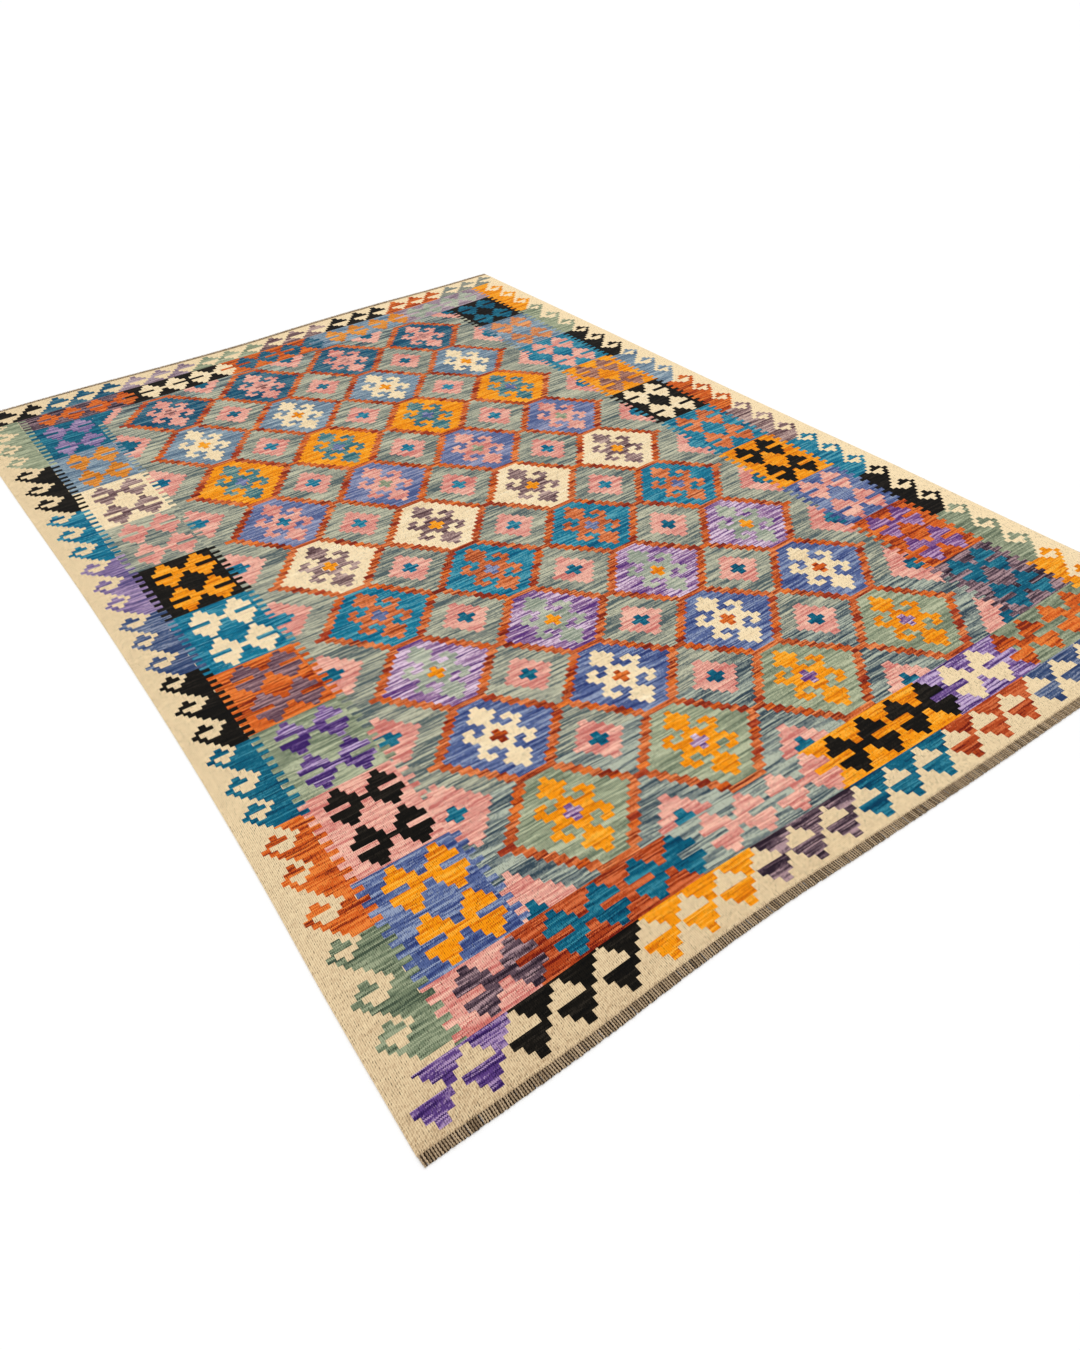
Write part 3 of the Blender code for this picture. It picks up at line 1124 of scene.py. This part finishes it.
def add_ply(points, faces, path, wide, high, away):
    """A closed tube along a path, given its half width and half height, and thinner at its cut end."""
    first = len(points)
    for ring, (x, y, z) in enumerate(path):
        size = CUT_END_SIZE if ring == len(path) - 1 else 1
        for side in range(PLY_SIDES):
            angle = math.tau * side / PLY_SIDES
            points.append((x + size * wide * math.cos(angle), y, z + size * high * math.sin(angle)))
    for ring in range(len(path) - 1):
        for side in range(PLY_SIDES):
            a = first + ring * PLY_SIDES + side
            b = first + ring * PLY_SIDES + (side + 1) % PLY_SIDES
            faces.append((a, b, b + PLY_SIDES, a + PLY_SIDES)[::-away])
    last = first + (len(path) - 1) * PLY_SIDES
    faces.append([first + side for side in range(PLY_SIDES)][::away])
    faces.append([last + side for side in range(PLY_SIDES)][::-away])


def build_fringe(name, end, material):
    """The cut warp ends along one end, 0 being the near one: each two twisted pale plies, and a dark ply low
    in the gap beside them that is partly dark wool and partly painted shadow.
    """
    away = 1 if end else -1
    shares = (np.arange(STRANDS) + 0.5) / STRANDS
    edge_x, edge_y = loom_to_floor(shares * WIDTH, np.full(STRANDS, end * LENGTH, float))
    pitch = WIDTH / STRANDS
    steps = [ring / (PLY_RINGS - 1) for ring in range(PLY_RINGS)]
    points, faces, tones = [], [], []
    for number in range(STRANDS):
        length = FRINGE_LENGTHS[end] + hand.uniform(-LENGTH_SPREAD, LENGTH_SPREAD)
        lean = math.sin(number / 9 + 2 * math.sin(number / 27)) + hand.gauss(0, LEAN_SPREAD)
        bend = hand.uniform(-BEND, BEND)
        pale = min(max(hand.gauss(PALE_TONE, PALE_TONE_SPREAD), LOWEST_PALE_TONE), 1)
        twist = hand.uniform(0, math.tau)
        root_x = edge_x[number] + hand.uniform(-ROOT_SPREAD, ROOT_SPREAD)
        xs = [root_x + lean * t * t + bend * math.sin(t * math.pi) for t in steps]
        ys = [edge_y[number] + away * (t * length - FRINGE_ROOT) for t in steps]
        for ply in range(3):
            # the dark ply sits low in the gap between strands: dark wool and painted shadow
            if ply == 2:
                wide, high = DARK_WOOL_AND_SHADOW_RADII[0] * hand.uniform(*DARK_WOOL_AND_SHADOW_WIDTHS), DARK_WOOL_AND_SHADOW_RADII[1]
                path = [(x + pitch / 2, y - away * DARK_WOOL_AND_SHADOW_SHORTER * t, high) for t, x, y in zip(steps, xs, ys)]
            else:
                wide = high = PALE_RADIUS
                turns = [twist + math.pi * ply + math.tau * TURNS_OF_TWIST * t for t in steps]
                path = [
                    (x + wide * math.cos(turn), y, wide * (TWIST_HEIGHT + TWIST_SWING * math.sin(turn)))
                    for x, y, turn in zip(xs, ys, turns)
                ]
            before = len(faces)
            add_ply(points, faces, path, wide, high, away)
            if ply == 2:
                # the dark ply takes the darkest tones, partly as painted shadow
                tone = hand.uniform(0, HIGHEST_WOOL_AND_SHADOW_TONE)
            else:
                tone = pale + hand.uniform(-PLY_TONE_SPREAD, PLY_TONE_SPREAD)
            tones += [tone + PALER_BY[end]] * (len(faces) - before)
    mesh = bpy.data.meshes.new(name)
    mesh.from_pydata(((np.array(points) - (*MIDDLE, 0)) * MM).tolist(), [], faces)
    mesh.materials.append(material)
    mesh.attributes.new("ply", "FLOAT", "FACE").data.foreach_set("value", tones)
    mesh.polygons.foreach_set("use_smooth", [True] * len(faces))
    return add_object(name, mesh)


# ---- the room and the camera ----

LIGHT_WAY = (-0.45, -0.35, -1)
# The camera's place in metres, and its turns about X, Y and Z in degrees
CAMERA_PLACE = (-1.2177, -2.1758, 1.4370)
CAMERA_TURN = (49.9031, 2.5918, -35.2785)


def build_room():
    """A plain pale floor, a wide soft light overhead and an even pale room around."""
    bpy.ops.mesh.primitive_plane_add(size=60, location=(0, 0, 0))
    floor = bpy.context.object
    floor.name = "floor"
    paint = bpy.data.materials.new("pale_floor")
    paint.use_nodes = True
    shader = paint.node_tree.nodes["Principled BSDF"]
    shader.inputs["Base Color"].default_value = (0.94, 0.94, 0.94, 1)
    shader.inputs["Roughness"].default_value = 0.9
    shader.inputs["Specular IOR Level"].default_value = 0.1
    floor.data.materials.append(paint)

    world = bpy.data.worlds.new("room")
    bpy.context.scene.world = world
    world.use_nodes = True
    sky = world.node_tree.nodes["Background"]
    sky.inputs["Color"].default_value = (1.0, 1.0, 1.0, 1)
    sky.inputs["Strength"].default_value = 0.88

    lamp_data = bpy.data.lights.new("soft_light", "SUN")
    lamp_data.energy = 0.75
    lamp_data.angle = math.radians(70)
    lamp = bpy.data.objects.new("soft_light", lamp_data)
    lamp.rotation_euler = Vector(LIGHT_WAY).to_track_quat("-Z", "Y").to_euler()
    bpy.context.scene.collection.objects.link(lamp)
    bpy.context.scene.view_settings.view_transform = "Standard"
    bpy.context.scene.view_settings.look = "None"


def build_camera():
    """A standing person's view from beyond the near left corner."""
    data = bpy.data.cameras.new("camera")
    data.sensor_width = 36
    data.lens = 27.13
    data.clip_start, data.clip_end = 0.05, 100
    camera = bpy.data.objects.new("camera", data)
    turn = Euler([math.radians(angle) for angle in CAMERA_TURN]).to_matrix().to_4x4()
    camera.matrix_world = Matrix.Translation(CAMERA_PLACE) @ turn
    bpy.context.scene.collection.objects.link(camera)
    bpy.context.scene.camera = camera


build_camera()
build_room()
WEAVE = weave_group()
cloth = build_cloth()
warp_wool = fringe_material()
fringe_near = build_fringe("warp_fringe_near", 0, warp_wool)
fringe_far = build_fringe("warp_fringe_far", 1, warp_wool)

for piece in (cloth, fringe_near, fringe_far):
    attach(piece, "root")
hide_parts("kilim_cloth")
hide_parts("fringe_near")
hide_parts("fringe_far")
